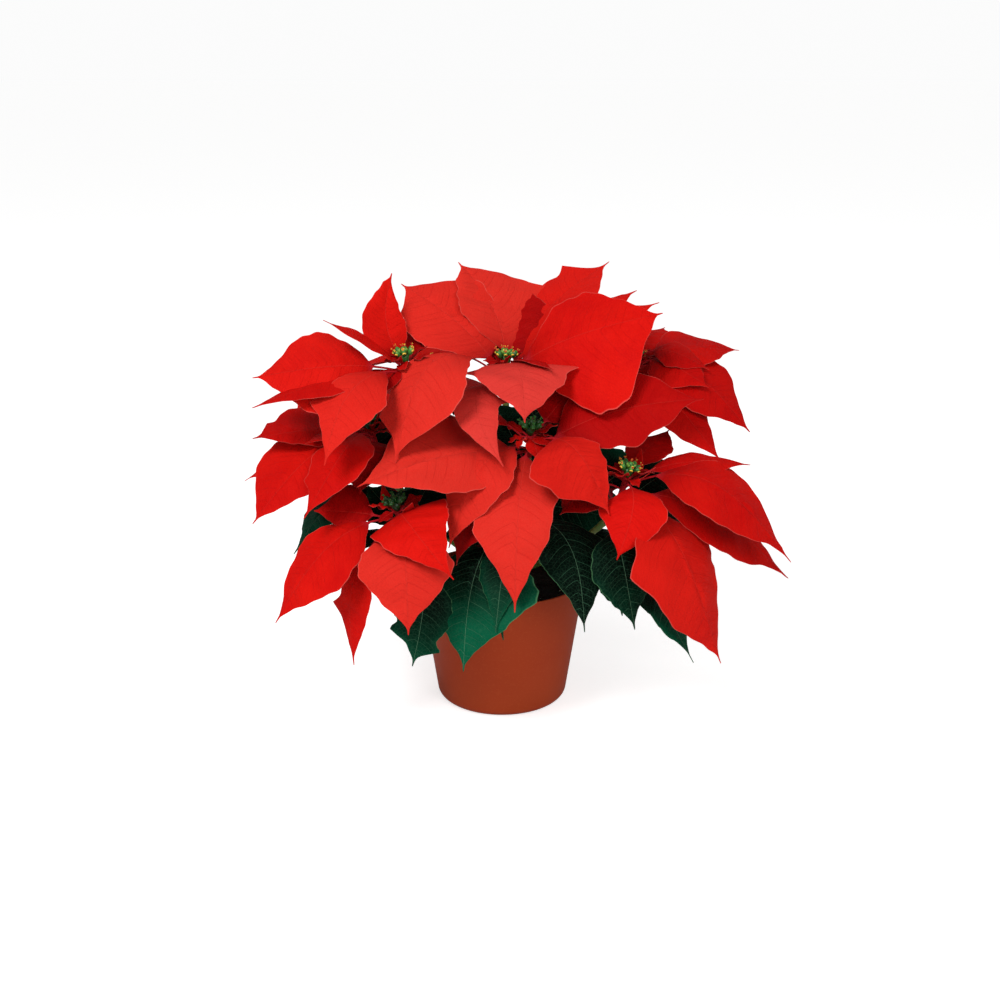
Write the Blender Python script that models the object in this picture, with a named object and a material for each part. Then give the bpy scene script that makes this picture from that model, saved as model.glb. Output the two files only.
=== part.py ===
# Poinsettia in a round plastic pot.
# The pot stands on the ground with its middle at the origin, and the plant faces -Y.
# A trunk rises from the soil and branches. Each branch carries green leaves and ends in a bloom: a whorl of
# red bracts round a small cluster of green and yellow flower cups.

import math
from collections import namedtuple

import bmesh
import bpy
import numpy as np
from mathutils import Matrix, Vector

# Sizes and places, in millimetres
MM = 0.001  # metres in a millimetre
GAP = 0.35  # clearance between pieces that rest on each other

POT_RIM_RADIUS = 82.5
POT_FOOT_RADIUS = 63.5
POT_HEIGHT = 126.0
POT_WALL = 2.2
POT_CORNER_RADIUS = 9.0
POT_FOOT_RING = 9.0  # width of the ring that it stands on
POT_DISC_RADIUS = 24.0  # the flat disc in the middle of the bottom, level with the ring
POT_RECESS = 2.0  # depth of the channel between the disc and the ring, where the drain holes are
POT_STEP = 1.0  # how far each side of the channel slopes
POT_DRAIN_RADIUS = 4.0
POT_DRAIN_CIRCLE = 38.0
POT_DRAINS = 6
POT_SIDES = 28
POT_INNER_CORNER = 4.5
POT_DRAIN_SIDES = 8

SOIL_TOP = 111.0
SOIL_MOUND = 5.0  # how much higher it is round the trunk
SOIL_SHOULDER = 2.0  # how much of that it has risen at the pot foot's radius

TRUNK_RADIUS = 6.5
TRUNK_TOP = 168.0
TRUNK_FOOT = 70.0
TRUNK_SIDES = 10
BRANCH_RADIUS = 3.2
BRANCH_SIDES = 6
BRANCH_REACH = 14.0  # how far a branch runs out of the trunk before it turns up
BRANCH_LEAD = 4.0  # how far each end of a branch is quite straight
BRANCH_UPRIGHT = 0.45  # the share of its height over which a branch turns upright
BLOOM_LEAN = 0.0022  # how much a bloom leans outwards for each millimetre from the middle
HUB_RADIUS = 3.0  # the top of a branch, where the bracts spring from
HUB_STEP = 1.7  # how far each bract springs below the one before it
BRACT_INSET = 1.6  # how far from the hub's middle line a bract starts
HUB_END = 3.0  # how much hub there is above the highest bract and below the lowest
HUB_TOP = 7.5  # how far the top of the hub is below the bloom's middle

STALK_HALF_WIDTH = 1.1
STALK_THICKNESS = 1.6
BLADE_THICKNESS = 0.9
TIP_HALF_WIDTH = 0.45
DRIP_TIP_TAPER = 12.0  # how fast the fine end of a blade widens
DRIP_TIP_START = 0.97  # where the wide part of a blade ends
TOOTH_SPREAD = 0.1  # how far each way a tooth reaches along the blade
STEP = 0.002  # the share of a blade over which its direction is taken

CUP_RADIUS = 2.9
CUP_LENGTH = 9.0
CUP_SIDES = 5
CUP_ROWS = 3
CUP_RING = 6.5  # how far the outer cups are from the middle one
CUP_RISE = 4.0  # how high the middle of a cup is above the bloom's middle
CUP_LEAN = 34.0
CUPS = 4
CUSHION_FOOT_RADIUS = 2.0  # the green cushion that the cups stand on
CUSHION_RADIUS = 5.5
CUSHION_TOP = 1.6
CUSHION_SIDES = 6

UP = np.array((0.0, 0.0, 1.0))

# A blade is a bract or a leaf. tip is where it ends (right, back and up from the origin), width its full
# width, bow how far its middle arches above the straight line to its tip, roll how far it is turned about its
# length (positive lifts the right-hand edge as seen from its foot), fold the angle of each half (positive folds
# the edges up), sway how far its middle swings to the right, lean how much of its width lies on the right,
# stalk the length before it widens, peak where along it the arch is highest, widest where it is widest, and
# teeth the corners of its edge: where along it, and how far out, minus for those on the left.
Blade = namedtuple(
    "Blade",
    "tip width bow roll fold sway lean stalk peak widest teeth",
    defaults=(12, 0, -6, 0, 0, 24, 0.42, 0.42, ()),
)

# A bloom's middle is where its flower cups sit. Its branch leaves the trunk at the height root. Each leaf has
# its place along the branch, from 0 at the trunk to 1 at the bloom.
Bloom = namedtuple("Bloom", "middle root bracts leaves")

BLOOMS = {
    "left": Bloom(
        (-91, -20, 350),
        150,
        [
            Blade((-112, -50, 318), 24, 6, stalk=8),
            Blade((-104, 22, 420), 46, -6, -6, 10, -11, -0.15, stalk=12, widest=0.34, teeth=((0.88, -3),)),
            Blade((-42, 42, 338), 32, 3),
            Blade((-162, -45, 388), 34, 4, 12, 4, stalk=14),
            Blade((-226, -60, 338), 98, 14, 40, -6, lean=-0.04, stalk=34),
            Blade((-155, -130, 276), 58, 26, 14, sway=16, lean=-0.2, teeth=((0.55, 12),)),
            Blade((-222, -92, 318), 54, 12, 6),
            Blade((-88, 74, 376), 40, 8),
        ],
        [
            (0.8, Blade((-70, -75, 262), 56, 14)),
            (0.72, Blade((-148, 66, 232), 52, 16)),
            (0.6, Blade((-90, 60, 230), 60, 16)),
            (0.9, Blade((-98, 50, 270), 46, 8)),
            (0.75, Blade((-154, 36, 266), 44, 6, 36)),
            (0.94, Blade((-40, -8, 306), 52, 6, -25)),
        ],
    ),
    "middle": Bloom(
        (4, 10, 342),
        TRUNK_TOP + GAP,
        [
            Blade((46, -58, 345), 26, 8, 10, 0, stalk=8),
            Blade((-16, 30, 356), 18, -4, stalk=8),
            Blade((48, 12, 340), 14, 3, stalk=8),
            Blade((20, -98, 306), 86, 26, 0, 0, -4, widest=0.34, teeth=((0.3, 14), (0.3, -13))),
            Blade((149, -10, 388), 138, 18, -46, -10, lean=0.22, widest=0.5),
            Blade((-43, 88, 421), 94, 8, 0, 6, 12, 0.22, widest=0.5, teeth=((0.5, 14), (0.84, -9))),
            Blade((150, 30, 391), 80, 16, -24, lean=0.3),
            Blade((-98, 60, 404), 100, 12, 30, 0, 4, 0.1, widest=0.55, teeth=((0.8, -10),)),
            Blade((22, 95, 398), 86, 8, 0, 6),
            Blade((-96, -95, 268), 86, 58, 0, -6, 12, -0.26, widest=0.6, teeth=((0.76, 12),)),
            Blade((132, 70, 396), 74, 20, -14, lean=0.3),
            Blade((106, 92, 421), 92, 14, 0, 6, -10, 0.14, widest=0.55, teeth=((0.8, -20),)),
            Blade((1, -120, 272), 42, 28, 0, -6, 26, teeth=((0.35, -8),)),
        ],
        [
            (0.8, Blade((74, 6, 276), 58, 5, -35)),
            (0.62, Blade((-72, 20, 262), 56, 12)),
            (0.5, Blade((-30, -62, 236), 56, 12)),
            (0.5, Blade((62, -6, 240), 48, 8, -35)),
            (0.35, Blade((114, 0, 183), 64, 6, -40)),
            (0.93, Blade((-44, 46, 286), 60, 5, 35)),
            (0.9, Blade((56, 44, 280), 60, 5, -35)),
        ],
    ),
    "front": Bloom(
        (26, -55, 290),
        142,
        [
            Blade((33, -92, 268), 18, 6, stalk=8),
            Blade((46, -82, 278), 22, 6, stalk=8),
            Blade((72, 4, 318), 56, 6, -30),
            Blade((-24, -42, 306), 20, 4, 10),
            Blade((95, -120, 228), 88, 32, -6, -4, 0, 0.4, teeth=((0.34, -6), (0.7, 8))),
            Blade((11, -152, 147), 72, 36, 0, lean=0.14, stalk=16, teeth=((0.55, 4), (0.27, -11))),
            Blade((-48, -118, 195), 72, 34, 8, stalk=12),
            Blade((-42, -106, 174), 82, 24),
            Blade((-129, -110, 250), 116, 16, 26, lean=0.2, stalk=14, peak=0.5),
            Blade((185, -50, 316), 84, 12, -44, sway=-9, lean=-0.14, stalk=28, teeth=((0.5, 4), (0.75, 4))),
        ],
        [
            (0.95, Blade((-8, -14, 304), 58, 4, 30)),
            (0.78, Blade((0, -6, 266), 50, 5)),
            (0.85, Blade((-36, -20, 260), 46, 6, 18)),
            (0.62, Blade((-58, -50, 180), 48, 8, 30)),
            (0.62, Blade((-35, -150, 89), 106, 34, sway=7, lean=-0.16, stalk=50, widest=0.36)),
            (0.55, Blade((-6, -150, 127), 44, 30, stalk=34)),
            (0.45, Blade((1, -135, 113), 52, 34, -20, stalk=34)),
            (0.6, Blade((74, -140, 123), 68, 34, stalk=22, sway=-10, teeth=((0.35, -7), (0.6, -5)))),
        ],
    ),
    "right": Bloom(
        (117, -60, 251),
        130,
        [
            Blade((140, -74, 258), 8, -4, stalk=8),
            Blade((130, -40, 266), 10, -6, stalk=8),
            Blade((90, -75, 262), 24, 5, stalk=8),
            Blade((231, -50, 253), 40, 14, -14),
            Blade((101, -140, 192), 62, 26, 0, sway=-12),
            Blade((262, -108, 178), 92, 44, -14),
            Blade((52, -98, 220), 60, 14, lean=-0.12),
            Blade((161, 2, 273), 50, 10),
            Blade((199, -132, 89), 108, 40, 0, sway=20, lean=0.05, stalk=32, widest=0.36, teeth=((0.34, 12),)),
            Blade((271, -60, 144), 80, 26, -20),
        ],
        [
            (0.88, Blade((108, 20, 246), 52, 8)),
            (0.8, Blade((121, -120, 117), 62, 30, sway=6, stalk=20)),
            (0.5, Blade((179, -100, 75), 62, 30, lean=-0.2, stalk=34, teeth=((0.8, -8),))),
            (0.6, Blade((113, -80, 114), 50, 24, stalk=26)),
            (0.4, Blade((150, 30, 140), 60, 24, stalk=26)),
            (0.9, Blade((180, -16, 206), 70, 8, -30)),
            (0.94, Blade((82, -8, 262), 60, 6, 35)),
            (0.93, Blade((178, 8, 240), 56, 6, -35)),
        ],
    ),
    "lower": Bloom(
        (-97, -90, 228),
        126,
        [
            Blade((-80, -112, 236), 8, -3, stalk=8),
            Blade((-110, -70, 240), 8, -5, stalk=8),
            Blade((-42, -170, 185), 74, 26, -22, sway=6, lean=-0.08, stalk=8, widest=0.24, teeth=((0.13, -9),)),
            Blade((-203, -140, 132), 78, 28, 14, lean=-0.12),
            Blade((-82, -172, 134), 84, 34),
            Blade((-171, -92, 222), 50, 6, 40, lean=0.3),
            Blade((-135, -132, 87), 38, 34, lean=-0.2, stalk=30, teeth=((0.54, 11),)),
        ],
        [
            (0.88, Blade((-66, -20, 232), 56, 8)),
            (0.7, Blade((-82, -130, 85), 54, 26, sway=-9, stalk=28, teeth=((0.8, -12), (0.68, 11)))),
            (0.8, Blade((-128, -34, 229), 44, 5, 25)),
            (0.6, Blade((-195, -60, 160), 60, 26)),
            (0.5, Blade((-120, 10, 130), 56, 24)),
        ],
    ),
    "back_right": Bloom(
        (130, 55, 334),
        148,
        [
            Blade((199, 20, 328), 44, 20, -20),
            Blade((196, -4, 316), 62, 16, -20),
            Blade((238, 0, 271), 84, 30, -18),
            Blade((236, 72, 336), 84, 14, -14, lean=-0.2),
            Blade((206, -42, 253), 58, 20, -10, sway=6),
            Blade((170, 145, 345), 64, 14, stalk=8, widest=0.3),
            Blade((95, 120, 360), 60, 10),
            Blade((225, 110, 300), 64, 20),
        ],
        [
            (0.62, Blade((212, 52, 190), 56, 20)),
            (0.7, Blade((170, 130, 200), 56, 24)),
            (0.5, Blade((110, 90, 150), 56, 24)),
        ],
    ),
    "far_left": Bloom(
        (-127, -10, 283),
        134,
        [
            Blade((-179, -72, 280), 30, 6),
            Blade((-226, -100, 212), 76, 26, 16, lean=0.24, widest=0.56),
            Blade((-175, -130, 227), 58, 26, 0, sway=-8, teeth=((0.7, 5),)),
            Blade((-229, -60, 281), 68, 10, 20, lean=0.3, teeth=((0.8, 8),)),
            Blade((-128, -98, 240), 80, 16),
            Blade((-250, 0, 222), 70, 16, 10),
            Blade((-210, 70, 290), 62, 14),
            Blade((-150, 100, 300), 60, 12),
        ],
        [
            (0.8, Blade((-190, 70, 180), 56, 24)),
            (0.65, Blade((-165, 80, 160), 56, 24)),
            (0.72, Blade((-196, -62, 169), 66, 24, sway=14)),
        ],
    ),
    "back_left": Bloom(
        (-70, 120, 312),
        154,
        [
            Blade((-60, 245, 280), 76, 24),
            Blade((-165, 190, 285), 74, 22),
            Blade((-176, 118, 292), 60, 8),
            Blade((20, 200, 300), 66, 20),
            Blade((-5, 130, 342), 56, 8),
            Blade((-115, 190, 325), 66, 14),
            Blade((-110, 235, 225), 70, 24),
            Blade((-20, 240, 220), 66, 24),
        ],
        [
            (0.85, Blade((-150, 170, 190), 60, 24)),
            (0.75, Blade((-70, 215, 170), 60, 24)),
            (0.6, Blade((-95, 120, 140), 60, 24)),
        ],
    ),
    "back": Bloom(
        (84, 130, 312),
        158,
        [
            Blade((90, 250, 290), 76, 24),
            Blade((190, 190, 280), 74, 22),
            Blade((5, 175, 335), 60, 16),
            Blade((150, 235, 235), 70, 24),
            Blade((40, 240, 230), 66, 24),
            Blade((140, 175, 335), 64, 12),
            Blade((182, 66, 312), 62, 6, -30),
            Blade((60, 215, 325), 64, 14),
            Blade((215, 150, 235), 66, 22),
        ],
        [
            (0.85, Blade((170, 180, 180), 60, 24)),
            (0.75, Blade((85, 215, 165), 60, 24)),
            (0.6, Blade((50, 130, 140), 60, 24)),
        ],
    ),
}


def unit(vector):
    return vector / np.linalg.norm(vector)


def blade_axes(foot, blade):
    """The line from foot to tip, and the blade's right-hand and upward directions, turned by its roll."""
    line = np.array(blade.tip, float) - foot
    heading = unit(np.array((line[0], line[1], 0.0)))
    side = unit(np.cross(heading, UP))
    face = unit(np.cross(side, line))
    turn = math.radians(blade.roll)
    rolled_side = side * math.cos(turn) + face * math.sin(turn)
    rolled_face = face * math.cos(turn) - side * math.sin(turn)
    return line, rolled_side, rolled_face


def blade_edge(blade, length, along, hand):
    """How far the blade's edge is from its middle line, on the right (hand 1) or the left (hand -1)."""
    stalk = blade.stalk / length
    share = np.clip((along - stalk) / (1 - stalk), 0, 1)
    rising = np.sin(np.pi / 2 * np.clip(share / blade.widest, 0, 1)) ** 0.8
    falling = np.sin(np.pi / 2 * np.clip((DRIP_TIP_START - share) / (DRIP_TIP_START - blade.widest), 0, 1)) ** 1.3
    edge = blade.width / 2 * (1 + hand * blade.lean) * np.where(share < blade.widest, rising, falling)
    for place, jut in blade.teeth:
        if jut * hand > 0:
            edge = edge + abs(jut) * np.clip(1 - abs(share - place) / TOOTH_SPREAD, 0, 1) ** 1.4
    drip_tip = TIP_HALF_WIDTH + DRIP_TIP_TAPER * (1 - share)
    return np.maximum(edge, np.where(share < blade.widest, STALK_HALF_WIDTH, drip_tip))


def blade_surface(foot, blade, along, across):
    """Points and normals of a blade's middle surface, for shares of its length and from -1 to 1 across it."""
    line, side, face = blade_axes(foot, blade)
    length = np.linalg.norm(line)
    bend = math.log(0.5) / math.log(blade.peak)

    def middle(t):
        t = t[:, None]
        arch = face * blade.bow * np.sin(np.pi * t**bend)
        return foot + line * t + arch + side * blade.sway * np.sin(np.pi * t)

    ahead = middle(np.minimum(along + STEP, 1)) - middle(np.maximum(along - STEP, 0))
    ahead /= np.linalg.norm(ahead, axis=1)[:, None]
    out = np.cross(side, ahead)
    out /= np.linalg.norm(out, axis=1)[:, None]
    right = np.cross(ahead, out)
    left_edge = blade_edge(blade, length, along, -1)[:, None]
    right_edge = blade_edge(blade, length, along, 1)[:, None]
    reach = np.where(across > 0, right_edge, left_edge) * across
    fold = math.radians(blade.fold)
    points = (
        middle(along)[:, None, :]
        + right[:, None, :] * (reach * math.cos(fold))[:, :, None]
        + out[:, None, :] * (abs(reach) * math.sin(fold))[:, :, None]
    )
    tilt = np.sign(across)[None, :, None] * math.sin(fold)
    normals = out[:, None, :] * math.cos(fold) - right[:, None, :] * tilt
    return points, normals


def bloom_axis(bloom):
    """The direction that a bloom faces: up, and leaning outwards with its distance from the middle."""
    x, y, _ = bloom.middle
    return unit(np.array((x * BLOOM_LEAN, y * BLOOM_LEAN, 1.0)))


def hub_point(bloom, order):
    """The place on a hub's middle line for a bract: each one a little below the one before it."""
    return np.array(bloom.middle, float) - bloom_axis(bloom) * (HUB_TOP + HUB_END + HUB_STEP * order)


def bract_foot(bloom, order):
    """Where a bract springs from, just inside the hub's side."""
    centre = hub_point(bloom, order)
    return centre + unit((bloom.bracts[order].tip - centre) * (1, 1, 0)) * BRACT_INSET


def hub_ends(bloom):
    """The bottom and top of the hub that a bloom's bracts spring from."""
    top = np.array(bloom.middle, float) - bloom_axis(bloom) * HUB_TOP
    return hub_point(bloom, len(bloom.bracts) - 1) - bloom_axis(bloom) * HUB_END, top


def branch_ends(bloom):
    """Where a branch leaves the trunk and where it meets its hub, each with its direction there."""
    outward = unit(np.array((bloom.middle[0], bloom.middle[1], 0.0)))
    root = UP * bloom.root
    top = hub_ends(bloom)[0] - bloom_axis(bloom) * GAP
    if bloom.root > TRUNK_TOP:
        return root, UP, top, bloom_axis(bloom)
    return root + outward * (TRUNK_RADIUS + GAP), outward, top, bloom_axis(bloom)


def branch_point(bloom, share):
    """A place along a branch's middle line, which leaves the trunk outwards and then turns up to its bloom."""
    root, outward, top, axis = branch_ends(bloom)
    start = root + outward * BRANCH_LEAD
    leaving = root + outward * BRANCH_REACH
    arriving = top - axis * BRANCH_UPRIGHT * (top[2] - bloom.root)
    end = top - axis * BRANCH_LEAD
    rest = 1 - share
    return start * rest**3 + leaving * 3 * share * rest**2 + arriving * 3 * share**2 * rest + end * share**3


# Meshes
BLADE_COLUMNS = 2
BRACT_ROWS = (0.0, 0.2, 0.42, 0.64, 0.85, 1.0)  # shares of a blade past its stalk
LEAF_ROWS = (0.0, 0.22, 0.5, 0.78, 1.0)
BRANCH_BENDS = 4
CORNER_STEPS = 3

BRACT_RED = (0.62, 0.012, 0.01, 1)
LEAF_GREEN = (0.015, 0.09, 0.035, 1)
CUP_GREEN = (0.12, 0.25, 0.05, 1)
POT_CLAY = (0.26, 0.065, 0.025, 1)
SOIL_BROWN = (0.02, 0.013, 0.008, 1)
BARK_BROWN = (0.1, 0.09, 0.03, 1)


def new_material(name, colour, roughness):
    material = bpy.data.materials.new(name)
    material.use_nodes = True
    shader = material.node_tree.nodes["Principled BSDF"]
    shader.inputs["Base Color"].default_value = colour
    shader.inputs["Roughness"].default_value = roughness
    return material


def new_object(name, mesh):
    """An object from a bmesh that is in millimetres."""
    bmesh.ops.recalc_face_normals(mesh, faces=mesh.faces)
    data = bpy.data.meshes.new(name)
    mesh.to_mesh(data)
    mesh.free()
    data.transform(Matrix.Scale(MM, 4))
    made = bpy.data.objects.new(name, data)
    bpy.context.scene.collection.objects.link(made)
    return made


def boolean(target, operation, others):
    """Joins the other objects to the target, or cuts them from it, and removes them."""
    group = bpy.data.collections.new(target.name)
    for other in others:
        group.objects.link(other)
    modifier = target.modifiers.new(operation.lower(), "BOOLEAN")
    modifier.operation = operation
    modifier.operand_type = "COLLECTION"
    modifier.collection = group
    modifier.solver = "EXACT"
    with bpy.context.temp_override(object=target, active_object=target):
        bpy.ops.object.modifier_apply(modifier=modifier.name)
    for other in others:
        bpy.data.objects.remove(other)
    bpy.data.collections.remove(group)


def blade_rows(blade, length, shares):
    """Where the rows of a blade's mesh are along it, with a row at each tooth and at its widest place."""
    shares = np.array(shares)
    for place in [blade.widest, *(place for place, jut in blade.teeth)]:
        shares[1 + abs(shares[1:-1] - place).argmin()] = place
    stalk = blade.stalk / length
    return np.concatenate([[0.0], stalk + (1 - stalk) * np.sort(shares)])


def new_blade(foot, blade, shares):
    """A thin closed solid in a blade's shape, thicker along its stalk."""
    rows = blade_rows(blade, np.linalg.norm(np.array(blade.tip) - foot), shares)
    across = np.linspace(-1, 1, BLADE_COLUMNS + 1)
    points, normals = blade_surface(foot, blade, rows, across)
    mesh = bmesh.new()
    bmesh.ops.create_grid(mesh, x_segments=BLADE_COLUMNS, y_segments=len(rows) - 1, size=1)
    bmesh.ops.triangulate(mesh, faces=mesh.faces)
    extruded = bmesh.ops.extrude_face_region(mesh, geom=mesh.faces[:])
    top = {piece for piece in extruded["geom"] if isinstance(piece, bmesh.types.BMVert)}
    for vertex in mesh.verts:
        column = round((vertex.co.x + 1) / 2 * BLADE_COLUMNS)
        row = round((vertex.co.y + 1) / 2 * (len(rows) - 1))
        thickness = STALK_THICKNESS if row < 2 else BLADE_THICKNESS
        shift = thickness / 2 if vertex in top else -thickness / 2
        vertex.co = Vector(points[row, column] + normals[row, column] * shift)
    return new_object("blade", mesh)


def new_tube(path, radius):
    """A capped six-sided tube along a path."""
    curve = bpy.data.curves.new("tube", "CURVE")
    curve.dimensions = "3D"
    curve.bevel_depth = radius
    curve.bevel_resolution = BRANCH_SIDES // 2 - 2
    curve.use_fill_caps = True
    spline = curve.splines.new("POLY")
    spline.points.add(len(path) - 1)
    for point, place in zip(spline.points, path):
        point.co = (*place, 1)
    guide = bpy.data.objects.new("tube", curve)
    bpy.context.scene.collection.objects.link(guide)
    mesh = bmesh.new()
    mesh.from_mesh(guide.to_mesh())
    bpy.data.objects.remove(guide)
    bmesh.ops.remove_doubles(mesh, verts=mesh.verts, dist=0.001)
    return new_object("tube", mesh)


def new_ring(name, profile):
    """The shape that a closed outline of radius and height makes when it turns about the vertical axis."""
    mesh = bmesh.new()
    corners = [mesh.verts.new((radius, 0, height)) for radius, height in profile]
    edges = [mesh.edges.new(pair) for pair in zip(corners, corners[1:] + corners[:1])]
    bmesh.ops.spin(
        mesh,
        geom=corners + edges,
        axis=(0, 0, 1),
        steps=POT_SIDES,
        angle=math.tau,
        use_merge=True,
    )
    bmesh.ops.remove_doubles(mesh, verts=mesh.verts, dist=0.001)
    bmesh.ops.dissolve_degenerate(mesh, edges=mesh.edges, dist=0.001)
    return new_object(name, mesh)


def new_rod(name, radius, bottom, top, sides):
    mesh = bmesh.new()
    bmesh.ops.create_cone(
        mesh, cap_ends=True, segments=sides, radius1=radius, radius2=radius, depth=top - bottom
    )
    bmesh.ops.translate(mesh, verts=mesh.verts, vec=(0, 0, (top + bottom) / 2))
    return new_object(name, mesh)


def aim(direction, place):
    """The turn and shift that stand a shape along a direction at a place."""
    return Matrix.Translation(Vector(place)) @ Vector(direction).to_track_quat("Z", "Y").to_matrix().to_4x4()


def wall_radius(height):
    """The pot's outer radius."""
    return POT_FOOT_RADIUS + (POT_RIM_RADIUS - POT_FOOT_RADIUS) * height / POT_HEIGHT


def new_pot():
    slope = math.atan2(POT_RIM_RADIUS - POT_FOOT_RADIUS, POT_HEIGHT)
    corner = POT_FOOT_RADIUS - POT_CORNER_RADIUS * (1 - math.sin(slope)) / math.cos(slope)
    outline = [
        (0, 0),
        (POT_DISC_RADIUS, 0),
        (POT_DISC_RADIUS + POT_STEP, POT_RECESS),
        (corner - POT_FOOT_RING - POT_STEP, POT_RECESS),
        (corner - POT_FOOT_RING, 0),
    ]
    for step in range(CORNER_STEPS + 1):
        angle = -math.pi / 2 + (math.pi / 2 - slope) * step / CORNER_STEPS
        reach = POT_CORNER_RADIUS * math.cos(angle)
        outline.append((corner + reach, POT_CORNER_RADIUS + POT_CORNER_RADIUS * math.sin(angle)))
    floor = POT_RECESS + POT_WALL
    outline += [
        (POT_RIM_RADIUS, POT_HEIGHT),
        (POT_RIM_RADIUS - POT_WALL, POT_HEIGHT),
        (wall_radius(POT_CORNER_RADIUS) - POT_WALL, POT_CORNER_RADIUS),
        (wall_radius(floor) - POT_WALL - POT_INNER_CORNER, floor),
        (0, floor),
    ]
    pot = new_ring("pot", outline)
    drains = []
    for number in range(POT_DRAINS):
        angle = math.tau * number / POT_DRAINS
        drain = new_rod("drain", POT_DRAIN_RADIUS, -1, floor + 1, POT_DRAIN_SIDES)
        drain.data.transform(
            Matrix.Translation(Vector((math.cos(angle), math.sin(angle), 0)) * POT_DRAIN_CIRCLE * MM)
        )
        drains.append(drain)
    boolean(pot, "DIFFERENCE", drains)
    return pot


def new_soil():
    floor = POT_RECESS + POT_WALL + GAP
    hole = TRUNK_RADIUS + GAP
    outline = [
        (0, floor),
        (wall_radius(floor) - POT_WALL - GAP - POT_INNER_CORNER, floor),
        (wall_radius(POT_CORNER_RADIUS) - POT_WALL - GAP, POT_CORNER_RADIUS + GAP),
        (wall_radius(SOIL_TOP) - POT_WALL - GAP, SOIL_TOP),
        (POT_FOOT_RADIUS, SOIL_TOP + SOIL_SHOULDER),
        (hole, SOIL_TOP + SOIL_MOUND),
        (hole, TRUNK_FOOT - GAP),
        (0, TRUNK_FOOT - GAP),
    ]
    return new_ring("soil", outline)


def new_bracts(name, bloom):
    """A bloom's bracts round the hub that they spring from."""
    hub = new_tube(hub_ends(bloom), HUB_RADIUS)
    blades = [
        new_blade(bract_foot(bloom, order), bract, BRACT_ROWS) for order, bract in enumerate(bloom.bracts)
    ]
    boolean(hub, "UNION", blades)
    hub.name = name
    return hub


def new_stem(name, bloom):
    """A branch with its green leaves."""
    bends = [branch_point(bloom, step / BRANCH_BENDS) for step in range(BRANCH_BENDS + 1)]
    root, _, top, _ = branch_ends(bloom)
    branch = new_tube([root, *bends, top], BRANCH_RADIUS)
    leaves = [new_blade(branch_point(bloom, share), leaf, LEAF_ROWS) for share, leaf in bloom.leaves]
    boolean(branch, "UNION", leaves)
    branch.name = name
    return branch


def new_cup(turn):
    mesh = bmesh.new()
    bmesh.ops.create_uvsphere(mesh, u_segments=CUP_SIDES, v_segments=CUP_ROWS, radius=CUP_RADIUS)
    bmesh.ops.scale(mesh, verts=mesh.verts, vec=(1, 1, CUP_LENGTH / 2 / CUP_RADIUS))
    bmesh.ops.transform(mesh, matrix=turn, verts=mesh.verts)
    return new_object("cup", mesh)


def new_flowers(name, bloom):
    """The cluster of flower cups in a bloom's middle: a ring that leans out round one upright cup."""
    level = aim(bloom_axis(bloom), bloom.middle)
    bottom = GAP - HUB_TOP
    mesh = bmesh.new()
    bmesh.ops.create_cone(
        mesh,
        cap_ends=True,
        segments=CUSHION_SIDES,
        radius1=CUSHION_FOOT_RADIUS,
        radius2=CUSHION_RADIUS,
        depth=CUSHION_TOP - bottom,
        matrix=level @ Matrix.Translation((0, 0, (CUSHION_TOP + bottom) / 2)),
    )
    cushion = new_object(name, mesh)
    cups = [new_cup(level @ Matrix.Translation((0, 0, CUP_RISE)))]
    for number in range(CUPS):
        spin = Matrix.Rotation(math.tau * number / CUPS, 4, "Z")
        lean = Matrix.Rotation(math.radians(CUP_LEAN), 4, "Y")
        cups.append(new_cup(level @ spin @ Matrix.Translation((CUP_RING, 0, CUP_RISE)) @ lean))
    boolean(cushion, "UNION", cups)
    return cushion


for old in list(bpy.data.objects):
    bpy.data.objects.remove(old)

bract_material = new_material("bract", BRACT_RED, 0.5)
leaf_material = new_material("leaf", LEAF_GREEN, 0.45)
flower_material = new_material("flower", CUP_GREEN, 0.4)

for part, material in (
    (new_pot(), new_material("pot", POT_CLAY, 0.4)),
    (new_soil(), new_material("soil", SOIL_BROWN, 0.95)),
    (
        new_rod("trunk", TRUNK_RADIUS, TRUNK_FOOT, TRUNK_TOP, TRUNK_SIDES),
        new_material("bark", BARK_BROWN, 0.8),
    ),
):
    part.data.materials.append(material)

for bloom_name, each_bloom in BLOOMS.items():
    new_bracts("bracts_" + bloom_name, each_bloom).data.materials.append(bract_material)
    new_stem("stem_" + bloom_name, each_bloom).data.materials.append(leaf_material)
    new_flowers("flowers_" + bloom_name, each_bloom).data.materials.append(flower_material)

for part in bpy.data.objects:
    part.data.name = part.name
    for face in part.data.polygons:
        face.use_smooth = part.name in ("pot", "trunk")
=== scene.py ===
import math
import random
from collections import namedtuple

import bmesh
import bpy
import numpy as np
from mathutils import Matrix, Vector, noise


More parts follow.
